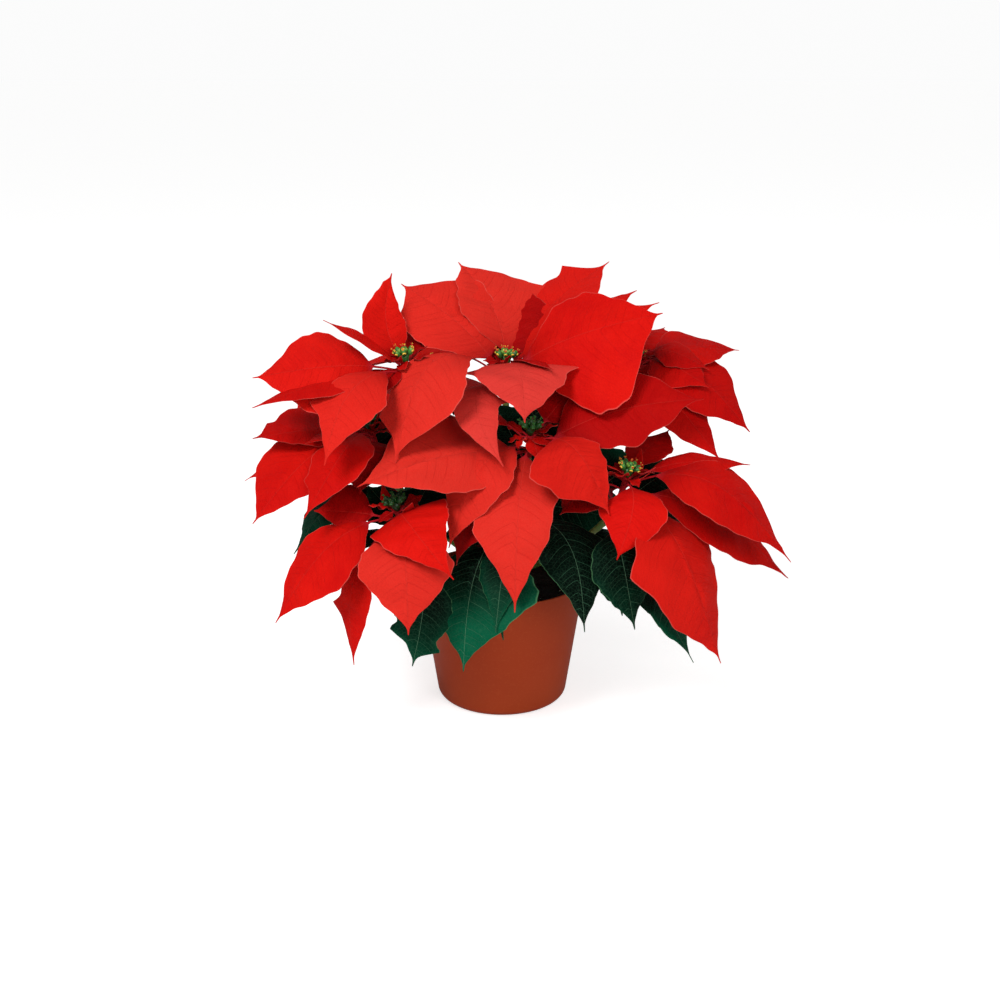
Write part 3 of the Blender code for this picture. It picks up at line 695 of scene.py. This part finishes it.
def newBlade(foot, blade, shape, seed, tone=0.0):
    chance = random.Random(seed)
    line, side, face = bladeAxes(foot, blade)
    length = np.linalg.norm(line)
    rows = int(np.clip(length / sheet["rowStep"], *sheet["rows"]))
    columns = 2 * int(np.clip(blade.width / 2 / sheet["columnStep"], *sheet["halfColumns"]))
    made = meshObject("blade", bladeMesh(columns, rows), 1)
    corners = np.empty(len(made.data.vertices) * 3, np.float32)
    made.data.vertices.foreach_get("co", corners)
    x, y, z = corners.reshape(-1, 3).T.astype(float)

    along = (y + 1) / 2
    across = np.sign(x) * abs(x) ** sheet["crowding"]
    hand = np.where(x < 0, -1, 1)
    stalk = blade.stalk / length
    share = np.clip((along - stalk) / (1 - stalk), 0, 1)
    edge = bladeEdge(blade, share, hand)
    phases = [chance.uniform(0, math.tau) for _ in range(9)]
    coarse, fine = sheet["jags"]
    uneven = np.sin(coarse * share + phases[6] * hand) + 0.6 * np.sin(fine * share + phases[7] * hand)
    saw = (share * sheet["saw"] + phases[8] + 0.5 * hand) % 1
    edge = edge + smooth(edge, 3, 12) * (blade.width * shape["jag"] * uneven + shape["teeth"] * saw**4)
    reach = across * edge
    bend = math.log(0.5) / math.log(blade.peak)

    def middle(t):
        arch = blade.bow * np.sin(np.pi * t**bend)
        swing = blade.sway * np.sin(np.pi * t)
        return foot + np.outer(t, line) + np.outer(arch, face) + np.outer(swing, side)

    step = 0.002
    ahead = middle(np.minimum(along + step, 1)) - middle(np.maximum(along - step, 0))
    ahead /= np.linalg.norm(ahead, axis=1)[:, None]
    out = np.cross(side, ahead)
    out /= np.linalg.norm(out, axis=1)[:, None]
    right = np.cross(ahead, out)

    # side veins, one apart, which leave the midrib at a slant and turn towards the tip
    bladeLength = length - blade.stalk
    spacing = bladeLength / shape["veins"]
    run = share * bladeLength - shape["slope"] * abs(reach) - shape["arch"] * reach**2 / blade.width
    veins = run / spacing + 0.5 * smooth(reach, 0, sheet["midrib"])  # the two sides take turns
    veins = veins + shape["wander"] * np.sin(2.3 * veins + phases[0] * hand)
    swell = 0.55 + 0.45 * np.sin(np.floor(veins) * 2.4 + phases[1])
    onBlade = smooth(share, 0, 0.06)
    inside = smooth(abs(reach), 0, sheet["midrib"]) * (1 - abs(across) ** 5)
    inside = inside * onBlade * smooth(1 - share, 0, 0.1)
    pucker = shape["pucker"] * inside * swell * (0.5 - 0.5 * np.cos(2 * np.pi * veins))
    counts = [chance.uniform(1.4, 3.0) for _ in range(4)]
    edgePhase = np.where(hand > 0, phases[0], phases[1])
    edgeCount = np.where(hand > 0, counts[0], counts[1])
    window = np.sin(np.pi * share) ** 0.6
    wave = np.sin(math.tau * edgeCount * share + edgePhase) * abs(across) ** 2.2 * shape["wave"]
    broad, slanting = sheet["ripples"]
    ripple = np.sin(math.tau * counts[2] * share + phases[2]) * np.sin(reach / broad + phases[3])
    ripple = ripple + np.sin(math.tau * 2.3 * counts[3] * share + phases[4] + reach / slanting) * 0.6
    curl = chance.uniform(-1, 0.4) * shape["curl"] * abs(across) ** 3
    twist = math.radians(chance.uniform(-1, 1) * shape["twist"]) * share**2
    lift = blade.width * window * (wave + curl + ripple * shape["ripple"] * inside) + pucker
    fold = math.radians(blade.fold)
    lift = lift + math.sin(fold) * (np.sqrt(reach**2 + 9) - 3) + reach * np.sin(twist)

    stalkHalf = sheet["stalkHalfDepth"] * np.sqrt(np.clip(1 - across**2, 0.01, 1))
    bladeHalf = sheet["thickness"] / 2 * (1 - 0.6 * abs(across) ** 3)
    half = stalkHalf + (bladeHalf - stalkHalf) * onBlade
    ridge = shape["ridge"] * (1 - 0.8 * share) * np.exp(-((reach / 0.9) ** 2)) * onBlade
    depth = np.where(z > 0.5, half, -half - ridge)
    points = middle(along) + right * (reach * math.cos(fold))[:, None] + out * (lift + depth)[:, None]

    made.data.vertices.foreach_set("co", (points * mm).astype(np.float32).ravel())
    made.data.update()
    keep(veins, made.data, "veins")
    keep(abs(reach) / (1 - 0.6 * share), made.data, "rib")
    keep(share, made.data, "share")
    keep(abs(across), made.data, "edge")
    keep(1 - onBlade, made.data, "stalk")
    keep(np.where(z > 0.5, 0, 1), made.data, "under")
    tone = tone + chance.uniform(-0.08, 0.08)
    # painted shade: a dark tone darkens the whole blade, and every blade is darker towards its foot
    dark = max(0, -tone)
    shaded = (0.75 + 0.2 * dark) * np.exp(-share / (0.13 + 0.45 * dark))  # painted shade, darkest at the foot
    keep(tone, made.data, "tone")
    keep(np.maximum(0.78 * dark, shaded), made.data, "deep")
    return made


def addBracts(name, bloom, number, material):
    bottom, top = hubEnds(bloom)
    radius = plant["hubRadius"]
    hub = newTube("hub", [bottom, bottom * 0.5 + top * 0.5, top], [radius, radius, radius * 0.9], 12)
    keep(1, hub.data, "stalk")
    parts = [hub]
    common, single = bractLightAndShade[name]
    for order, bract in enumerate(bloom.bracts):
        # the painted highlight or painted shade of this bract
        tone = single.get(order, common)
        parts.append(newBlade(bractFoot(bloom, order), bract, bractShape, number * 100 + order, tone))
    chance = random.Random(number * 100 + 80)
    for order in range(inner["count"]):
        turn = math.tau * (order + chance.uniform(-0.3, 0.3)) / inner["count"]
        outward = np.array((math.cos(turn), math.sin(turn), 0.0))
        foot = top - bloomAxis(bloom) * chance.uniform(0.5, 5) + outward * plant["bractInset"]
        rise = bloomAxis(bloom) * chance.uniform(*inner["rise"])
        tip = top + outward * chance.uniform(*inner["reach"]) + rise
        roll = chance.uniform(-1, 1) * inner["roll"]
        bract = Blade(tip, chance.uniform(*inner["width"]), 3, roll, 14, stalk=6, widest=0.5)
        tone = chance.uniform(*inner["tone"])
        parts.append(newBlade(foot, bract, innerShape, number * 100 + 81 + order, tone))
    piece = joined("bracts." + name, parts)
    finishPiece(piece, material, "bract", "bracts_" + name)


def addStem(name, bloom, number, leafMaterial, stemMaterial):
    root, _, top, _ = branchEnds(bloom)
    shares = np.linspace(0, 1, 25)
    path = [root, *(branchPoint(bloom, share) for share in shares), top]
    radii = plant["branchRadius"] * (1.12 - 0.2 * shares)
    for place, _ in bloom.leaves:  # a swelling where each leaf springs
        radii = radii + 0.5 * np.exp(-(((shares - place) / 0.03) ** 2))
    stem = newTube("stem." + name, path, [radii[0], *radii, radii[-1]], 14)
    finishPiece(stem, stemMaterial, "leaf", "stem_" + name)
    leaves = []
    for order, (share, leaf) in enumerate(bloom.leaves):
        tone = leafPaintedLights.get((name, order), leafPaintedLight)
        seed = number * 100 + 50 + order
        leaves.append(newBlade(branchPoint(bloom, share), leaf, leafShape, seed, tone))
    piece = joined("leaves." + name, leaves)
    finishPiece(piece, leafMaterial, "leaf", "stem_" + name)


# flowers
flowers = {
    "cups": 7,  # round the middle one
    "ring": 7.6,  # mm
    "rise": 3.6,
    "lean": 36,  # degrees
    "radius": 2.8,
    "length": 9,
    "lipSize": (1.3, 1.9, 1.5),  # half widths
    "stamens": 5,
    "stamenLength": 3.2,
    "stamenRadius": (0.3, 0.2),
    "stamenLean": (8, 32),
    "pollenSize": (0.6, 0.45, 0.5),
    "buds": 9,
    "budRadius": 1.3,
    "budReach": (2.6, 4.4),
    "budHeight": 5,
    "budLean": 18,
    "discFoot": 2.2,  # the disc that the cups stand on
    "discRadius": 6,
    "discTop": 1.8,
    "green": 0.12,  # tints, read by the flower material
    "budTint": 0.3,
    "yellow": 0.5,
    "red": 0.9,
    "shadedBlooms": {"front": 0.25, "lower": 0.15, "far_left": 0.3},  # painted shade: darker, greener flowers in these blooms
}


def aim(direction, place):
    turn = Vector(direction).to_track_quat("Z", "Y").to_matrix().to_4x4()
    return Matrix.Translation(Vector(place)) @ turn


def addRound(mesh, tint, value, size, turn, segments=10, rings=7):
    # an egg in a bmesh, size being its half widths
    made = bmesh.ops.create_uvsphere(mesh, u_segments=segments, v_segments=rings, radius=1)["verts"]
    bmesh.ops.scale(mesh, vec=size, verts=made)
    bmesh.ops.transform(mesh, matrix=turn, verts=made)
    for vertex in made:
        vertex[tint] = value
    return made


def addCup(mesh, tint, turn, size, chance):
    radius = flowers["radius"] * size
    length = flowers["length"] * size
    green = flowers["green"] + chance.uniform(-0.06, 0.08)
    body = addRound(mesh, tint, green, (radius, radius, length / 2), turn)
    for vertex in body:  # the mouth of the cup is paler
        height = (turn.inverted() @ vertex.co).z / length + 0.5
        vertex[tint] += 0.16 * max(0, height - 0.75) / 0.25
    # a yellow lip on the outer side, with a hollow in it
    spot = turn @ Matrix.Translation((radius * 0.8, 0, length * 0.22)) @ Matrix.Rotation(0.35, 4, "Y")
    lipSize = [side * size for side in flowers["lipSize"]]
    lip = addRound(mesh, tint, flowers["yellow"], lipSize, spot)
    for vertex in lip:
        local = spot.inverted() @ vertex.co
        if local.x > 0.75 * size:
            vertex.co = spot @ Vector((local.x - 1.1 * size, local.y * 0.8, local.z * 0.8))
            vertex[tint] = flowers["yellow"] + 0.14
    for number in range(flowers["stamens"]):
        around = Matrix.Rotation(math.tau * (number + chance.random()) / flowers["stamens"], 4, "Z")
        lean = Matrix.Rotation(math.radians(chance.uniform(*flowers["stamenLean"])), 4, "Y")
        reach = flowers["stamenLength"] * size * chance.uniform(0.7, 1.1)
        base = turn @ Matrix.Translation((0, 0, length * 0.42)) @ around @ lean
        middle = base @ Matrix.Translation((0, 0, reach / 2))
        for vertex in addCone(mesh, 5, *flowers["stamenRadius"], reach, middle):
            vertex[tint] = flowers["red"]
        tip = base @ Matrix.Translation((0, 0, reach))
        colour = flowers["yellow"] + chance.choice((0.0, 0.12, 0.3))
        addRound(mesh, tint, colour, flowers["pollenSize"], tip, 6, 5)


def addFlowers(name, bloom, number, material):
    chance = random.Random(number * 100 + 90)
    mesh = bmesh.new()
    tint = mesh.verts.layers.float.new("tint")
    level = aim(bloomAxis(bloom), bloom.middle)
    bottom = plant["gap"] - plant["hubTop"]
    middle = level @ Matrix.Translation((0, 0, (flowers["discTop"] + bottom) / 2))
    depth = flowers["discTop"] - bottom
    for vertex in addCone(mesh, 18, flowers["discFoot"], flowers["discRadius"], depth, middle):
        vertex[tint] = flowers["green"]
    addCup(mesh, tint, level @ Matrix.Translation((0, 0, flowers["rise"] + 0.8)), 1, chance)
    for cup in range(flowers["cups"]):
        spin = Matrix.Rotation(math.tau * (cup + chance.uniform(-0.12, 0.12)) / flowers["cups"], 4, "Z")
        lean = Matrix.Rotation(math.radians(flowers["lean"] + chance.uniform(-8, 8)), 4, "Y")
        out = flowers["ring"] * chance.uniform(0.88, 1.05)
        rise = flowers["rise"] + chance.uniform(-0.8, 0.8)
        turn = level @ spin @ Matrix.Translation((out, 0, rise)) @ lean
        addCup(mesh, tint, turn, chance.uniform(0.82, 1.02), chance)
    for bud in range(flowers["buds"]):
        spin = Matrix.Rotation(math.tau * (bud + 0.5) / flowers["buds"], 4, "Z")
        lean = Matrix.Rotation(math.radians(flowers["budLean"]), 4, "Y")
        place = (chance.uniform(*flowers["budReach"]), 0, flowers["budHeight"])
        turn = level @ spin @ Matrix.Translation(place) @ lean
        size = flowers["budRadius"] * chance.uniform(0.75, 1.15)
        addRound(mesh, tint, flowers["budTint"], (size, size, size * 1.7), turn, 8, 6)
    # painted shade: darker, greener flowers in shaded blooms
    for vertex in mesh.verts:
        vertex[tint] *= flowers["shadedBlooms"].get(name, 1)
    bmesh.ops.recalc_face_normals(mesh, faces=mesh.faces)
    piece = meshObject("flowers." + name, mesh)
    piece.data.shade_smooth()
    finishPiece(piece, material, "flower", "flowers_" + name)


# pot, soil and trunk
pot = {
    "rimRadius": 82.5,
    "footRadius": 63.5,
    "height": 126,
    "wall": 2.2,
    "corner": 9,  # the rounding of the bottom edge
    "footRing": 9,
    "disc": 24,  # the middle of the underside, as low as the foot ring
    "recess": 2,  # between them
    "step": 1,
    "drainRadius": 4,
    "drainCircle": 38,
    "drains": 6,
    "rimRound": 0.9,
    "bends": 8,  # steps of the rounded bottom edge
    "steps": 144,
}
soil = {
    "top": 111,
    "mound": 5,  # how much higher it is at the trunk
    "rings": 26,
    "steps": 120,
    "lumps": 1.3,
    "crumbs": 240,
    "crumbSize": (0.7, 2.1),
    "paleEach": 11,  # one crumb in so many is pale
}


def wallRadius(height):
    return pot["footRadius"] + (pot["rimRadius"] - pot["footRadius"]) * height / pot["height"]


def newRing(outline, steps):
    # what a closed outline of radius and height makes when it turns about the upright axis
    mesh = bmesh.new()
    corners = [mesh.verts.new((radius, 0, height)) for radius, height in outline]
    edges = [mesh.edges.new(pair) for pair in zip(corners, corners[1:] + corners[:1])]
    turning = corners + edges
    bmesh.ops.spin(mesh, geom=turning, axis=(0, 0, 1), steps=steps, angle=math.tau, use_merge=True)
    bmesh.ops.remove_doubles(mesh, verts=mesh.verts, dist=0.001)
    bmesh.ops.dissolve_degenerate(mesh, edges=mesh.edges, dist=0.001)
    bmesh.ops.recalc_face_normals(mesh, faces=mesh.faces)
    return mesh


def addPot(material):
    slope = math.atan2(pot["rimRadius"] - pot["footRadius"], pot["height"])
    corner = pot["footRadius"] - pot["corner"] * (1 - math.sin(slope)) / math.cos(slope)
    outline = [
        (0, 0),
        (pot["disc"], 0),
        (pot["disc"] + pot["step"], pot["recess"]),
        (corner - pot["footRing"] - pot["step"], pot["recess"]),
        (corner - pot["footRing"], 0),
    ]
    for bend in range(pot["bends"] + 1):
        angle = -math.pi / 2 + (math.pi / 2 - slope) * bend / pot["bends"]
        reach = pot["corner"] * math.cos(angle)
        outline.append((corner + reach, pot["corner"] + pot["corner"] * math.sin(angle)))
    for height in (30, 60, 90):
        outline.append((wallRadius(height), height))
    floor = pot["recess"] + pot["wall"]
    outline += [
        (pot["rimRadius"], pot["height"]),
        (pot["rimRadius"] - pot["wall"], pot["height"]),
        (wallRadius(60) - pot["wall"], 60),
        (wallRadius(pot["corner"]) - pot["wall"], pot["corner"]),
        (wallRadius(floor) - pot["wall"] - pot["corner"] / 2, floor),
        (0, floor),
    ]
    mesh = newRing(outline, pot["steps"])
    rim = []
    for edge in mesh.edges:  # the two circles at the top
        first, second = (vertex.co for vertex in edge.verts)
        high = min(first.z, second.z) > pot["height"] - 0.01
        if high and abs(first.xy.length - second.xy.length) < 0.01:
            rim.append(edge)
    bmesh.ops.bevel(
        mesh, geom=rim, offset=pot["rimRound"], segments=4, profile=0.5, affect="EDGES", material=-1
    )
    piece = meshObject("pot.moulded", mesh)
    drains = bmesh.new()
    for number in range(pot["drains"]):
        angle = math.tau * number / pot["drains"]
        place = (math.cos(angle) * pot["drainCircle"], math.sin(angle) * pot["drainCircle"], floor / 2)
        radius = pot["drainRadius"]
        addCone(drains, 28, radius, radius, floor + 3, Matrix.Translation(place))
    cutter = meshObject("drains", drains)
    cut = piece.modifiers.new("drains", "BOOLEAN")
    cut.operation = "DIFFERENCE"
    cut.solver = "EXACT"
    cut.object = cutter
    with bpy.context.temp_override(object=piece, active_object=piece):
        bpy.ops.object.modifier_apply(modifier=cut.name)
    bpy.data.objects.remove(cutter)
    piece.data.shade_smooth()
    piece.data.set_sharp_from_angle(angle=math.radians(32))
    finishPiece(piece, material, "pot", "pot")


def addSoil(material):
    floor = pot["recess"] + pot["wall"] + plant["gap"]
    hole = plant["trunkRadius"] + plant["gap"]
    wall = wallRadius(soil["top"]) - pot["wall"] - plant["gap"]
    outline = [
        (0, floor),
        (wallRadius(floor) - pot["wall"] - plant["gap"] - pot["corner"] / 2, floor),
        (wallRadius(pot["corner"]) - pot["wall"] - plant["gap"], pot["corner"] + plant["gap"]),
    ]
    for ring in range(soil["rings"] + 1):
        share = ring / soil["rings"]
        outline.append((wall + (hole - wall) * share, soil["top"] + soil["mound"] * share**1.5))
    outline += [(hole, plant["trunkFoot"] - plant["gap"]), (0, plant["trunkFoot"] - plant["gap"])]
    mesh = newRing(outline, soil["steps"])
    tint = mesh.verts.layers.float.new("tint")
    for vertex in mesh.verts:
        inner = wall - vertex.co.xy.length
        if vertex.co.z > soil["top"] - 1 and inner > 1:
            lump = noise.noise(vertex.co * 0.11) + 0.6 * noise.noise(vertex.co * 0.35)
            vertex.co.z += soil["lumps"] * lump * min(1, inner / 6)
    chance = random.Random(7)
    for number in range(soil["crumbs"]):
        angle = chance.uniform(0, math.tau)
        reach = math.sqrt(chance.uniform(0.02, 0.9)) * (wall - 2)
        share = (wall - reach) / (wall - hole)
        size = chance.uniform(*soil["crumbSize"])
        height = soil["top"] + soil["mound"] * share**1.5
        place = (reach * math.cos(angle), reach * math.sin(angle), height)
        turn = Matrix.Translation(place) @ Matrix.Rotation(chance.uniform(0, 3), 4, Vector((1, 2, 0.5)))
        made = bmesh.ops.create_icosphere(mesh, subdivisions=1, radius=size)["verts"]
        bmesh.ops.scale(mesh, vec=(1, chance.uniform(0.6, 1), chance.uniform(0.5, 0.8)), verts=made)
        bmesh.ops.transform(mesh, matrix=turn, verts=made)
        grain = 1 if number % soil["paleEach"] == 0 else chance.uniform(0, 0.35)
        for vertex in made:
            vertex[tint] = grain
    piece = meshObject("soil.crumbly", mesh)
    piece.data.shade_smooth()
    piece.data.set_sharp_from_angle(angle=math.radians(40))
    finishPiece(piece, material, "soil", "soil")


def addTrunk(material):
    heights = np.linspace(plant["trunkFoot"], plant["trunkTop"], 30)
    path = [(0.5 * math.sin(height / 17), 0.5 * math.cos(height / 13), height) for height in heights]
    radii = [plant["trunkRadius"] * (0.97 + 0.04 * math.sin(height / 6)) for height in heights]
    piece = newTube("trunk.bark", path, radii, 24)
    finishPiece(piece, material, "bark", "trunk")


# finishes, with colours as linear light
bractColours = {
    # pale is a painted highlight and pink a painted sheen, both laid on bracts with a positive tone
    "pale": (0.65, 0.031, 0.020),
    "paintedSheen": (0.60, 0.052, 0.046),
    "mottledAndLit": (0.65, 0.0066, 0.0032),
    "base": (0.54, 0.0028, 0.0022),
    # painted shade, laid at the feet of the bracts and over dark-toned bracts
    "deep": (0.17, 0.0004, 0.0014),
    "vein": (0.42, 0.0030, 0.0040),
    "rib": (0.80, 0.060, 0.045),
    "rim": (0.78, 0.22, 0.18),
    "under": (0.60, 0.020, 0.018),
    "stalk": (0.40, 0.012, 0.018),
}
# base is the leaves' colour in painted shade, light their painted lit colour
leafColours = {
    "base": (0.0006, 0.0036, 0.0020),
    "light": (0.0010, 0.085, 0.038),
    "vein": (0.070, 0.20, 0.11),
    "rib": (0.16, 0.34, 0.20),
    "rim": (0.13, 0.34, 0.15),
    "under": (0.020, 0.090, 0.045),
    "stalk": (0.42, 0.025, 0.040),
}
flowerStops = [
    # the darkest green, painted shade, reached only in shaded blooms
    (0.0, (0.005, 0.034, 0.008)),
    (0.07, (0.012, 0.085, 0.012)),
    (0.22, (0.05, 0.24, 0.035)),
    (0.36, (0.25, 0.42, 0.05)),
    (0.5, (0.86, 0.55, 0.06)),
    (0.64, (0.83, 0.27, 0.02)),
    (0.8, (0.76, 0.07, 0.015)),
    (1.0, (0.42, 0.006, 0.01)),
]
soilStops = [
    (0.0, (0.010, 0.006, 0.004)),
    (0.4, (0.045, 0.026, 0.015)),
    (0.8, (0.35, 0.30, 0.24)),
    (1.0, (0.72, 0.70, 0.66)),
]
potColours = {
    "clay": (0.38, 0.043, 0.0085),
    "pale": (0.46, 0.072, 0.020),
    "base": (0.32, 0.032, 0.0065),
}
barkColours = {"base": (0.06, 0.10, 0.02), "brown": (0.12, 0.075, 0.035)}
stemColours = {
    "base": (0.10, 0.22, 0.035),
    "light": (0.17, 0.27, 0.05),
    "red": (0.30, 0.10, 0.045),
    "flecks": (0.36, 0.34, 0.16),
}


def bractFinish():
    finish = Finish("bract", bractColours, Specular_IOR_Level=0.035)
    edge = finish.attribute("edge")
    under = finish.attribute("under")
    stalk = finish.attribute("stalk")
    line = finish.attribute("veins").nearest().ramp(0.045, 0.0) * edge.ramp(1.0, 0.45) * (1 - stalk)
    rib = finish.attribute("rib").ramp(0.60, 0.15) * (1 - stalk)
    cloud = finish.noise(24, 3)
    grain = finish.noise(900, 3, 0.6)
    net = finish.cells(420).ramp(0.0, 0.10)
    streaks = finish.streaks(7)
    tone = finish.attribute("tone")
    # a brighter red in random clouds and streaks, with painted light added by a bract's tone
    finish.lay("mottledAndLit", (cloud + tone * 0.3 + streaks * 0.5).ramp(0.35, 1.0))
    # painted highlight on bracts with a positive tone, and a pink painted sheen where the tone is
    # highest
    finish.lay("pale", tone.ramp(0.0, 1.0) * (0.7 + streaks * 0.5))
    finish.lay("paintedSheen", tone.ramp(0.85, 1.25))
    finish.lay("under", under * 0.5)
    finish.lay("vein", line * 0.26 + (1 - net) * 0.10)
    # painted shade
    finish.lay("deep", finish.attribute("deep"))
    finish.lay("rib", rib * 0.22)
    finish.lay("rim", edge.ramp(0.976, 0.999) * 0.30)
    finish.lay("stalk", stalk)
    relief = net * 0.35 + grain * 0.4 + streaks * 1.5 - (line * 0.7 + rib) * (1 - under * 2)
    roughness = 0.56 + cloud * 0.10 - line * 0.05
    return finish.give(roughness, relief, 0.24)


def leafFinish():
    finish = Finish("leaf", leafColours, Specular_IOR_Level=0.03)
    edge = finish.attribute("edge")
    under = finish.attribute("under")
    stalk = finish.attribute("stalk")
    line = finish.attribute("veins").nearest().ramp(0.042, 0.010) * edge.ramp(1.0, 0.5) * (1 - stalk)
    rib = finish.attribute("rib").ramp(0.50, 0.20) * (1 - stalk)
    cloud = finish.noise(45, 3)
    grain = finish.noise(800, 3, 0.6)
    net = finish.cells(330).ramp(0.0, 0.12)
    # painted light: lighter towards the tip and margins, more on leaves with a higher tone
    tip = finish.attribute("share").ramp(0.2, 1.0) + edge.ramp(0.5, 1.0) * 0.4
    finish.lay("light", (tip * (0.35 + finish.attribute("tone")) + cloud * 0.3).ramp(0.1, 1.2))
    finish.lay("vein", (1 - net) * 0.10)
    finish.lay("under", under * 0.8)
    finish.lay("vein", line * 0.42)
    finish.lay("rib", rib * 0.5)
    finish.lay("rim", edge.ramp(0.965, 1.0) * 0.5)
    finish.lay("stalk", stalk)
    relief = net * 0.6 + grain * 0.35 - (line + rib) * (1 - under * 2)
    roughness = 0.42 + cloud * 0.12 + under * 0.2
    return finish.give(roughness, relief, 0.30)


def flowerFinish():
    finish = Finish("flower", {}, Specular_IOR_Level=0.4)
    tint = finish.attribute("tint") + (finish.noise(260, 2) - 0.5) * 0.07
    finish.pick(flowerStops, tint)
    relief = finish.noise(700, 2)
    return finish.give(0.32 + relief * 0.12, relief, 0.12)


def stemFinish():
    finish = Finish("stem", stemColours, Specular_IOR_Level=0.35)
    cloud = finish.noise(70, 3)
    flecks = finish.noise(500, 3).ramp(0.58, 0.68)
    finish.lay("light", cloud.ramp(0.3, 0.7))
    finish.lay("red", finish.noise(24, 2).ramp(0.52, 0.72) * 0.6)
    finish.lay("flecks", flecks * 0.4)
    return finish.give(0.42 + cloud * 0.1, flecks + cloud, 0.15)


def barkFinish():
    finish = Finish("bark", barkColours, Specular_IOR_Level=0.3)
    stretched = finish.node("Mapping", {}, {"Vector": finish.place(), "Scale": (1, 1, 0.22)})
    streaks = finish.node("TexNoise", {}, {"Vector": stretched, "Scale": 420, "Detail": 4}, "Fac")
    finish.lay("brown", streaks.ramp(0.35, 0.62))
    return finish.give(0.7 + streaks * 0.15, streaks, 0.6)


def soilFinish():
    finish = Finish("soil", {}, Specular_IOR_Level=0.2)
    coarse = finish.noise(210, 4, 0.65)
    fine = finish.noise(900, 3, 0.6)
    finish.pick(soilStops, finish.attribute("tint") + (coarse - 0.35) * 0.5)
    return finish.give(0.9, coarse + fine * 0.4, 1.6)


def potFinish():
    finish = Finish("pot", potColours, Specular_IOR_Level=0.12)
    cloud = finish.noise(14, 3)
    speckle = finish.noise(420, 3, 0.6)
    height = finish.node("SeparateXYZ", {}, {0: finish.place()}, "Z")
    lines = finish.node("Mapping", {}, {"Vector": finish.place(), "Scale": (1, 1, 34)})
    scuffs = finish.node("TexNoise", {}, {"Vector": lines, "Scale": 22, "Detail": 4}, "Fac")
    scuffs = scuffs.ramp(0.60, 0.74)
    finish.lay("clay", cloud.ramp(0.2, 0.7) * 0.5 + height.ramp(0.0, 0.09) * 0.5)
    finish.lay("pale", speckle.ramp(0.52, 0.7) * 0.25 + scuffs * 0.18)
    # paler at the rim and low down
    finish.lay("pale", height.ramp(0.1245, 0.1258) * 0.8 + height.ramp(0.07, 0.0) * 0.35)
    roughness = 0.40 + speckle * 0.10 + scuffs * 0.08
    return finish.give(roughness, speckle * 0.5 + cloud * 0.5, 0.08)


# the plant is put together
addCamera()
addLights()
addFloor()
print("camera, lights and floor are in place")

addPot(potFinish())
addSoil(soilFinish())
addTrunk(barkFinish())
print("pot, soil and trunk made")

bractMaterial = bractFinish()
leafMaterial = leafFinish()
stemMaterial = stemFinish()
flowerMaterial = flowerFinish()
for number, (name, bloom) in enumerate(blooms.items()):
    addBracts(name, bloom, number, bractMaterial)
    addStem(name, bloom, number, leafMaterial, stemMaterial)
    addFlowers(name, bloom, number, flowerMaterial)
    print("bloom made:", name)

faces = 0
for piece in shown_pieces():
    piece.data.calc_loop_triangles()
    faces += len(piece.data.loop_triangles)
print("triangles:", faces)
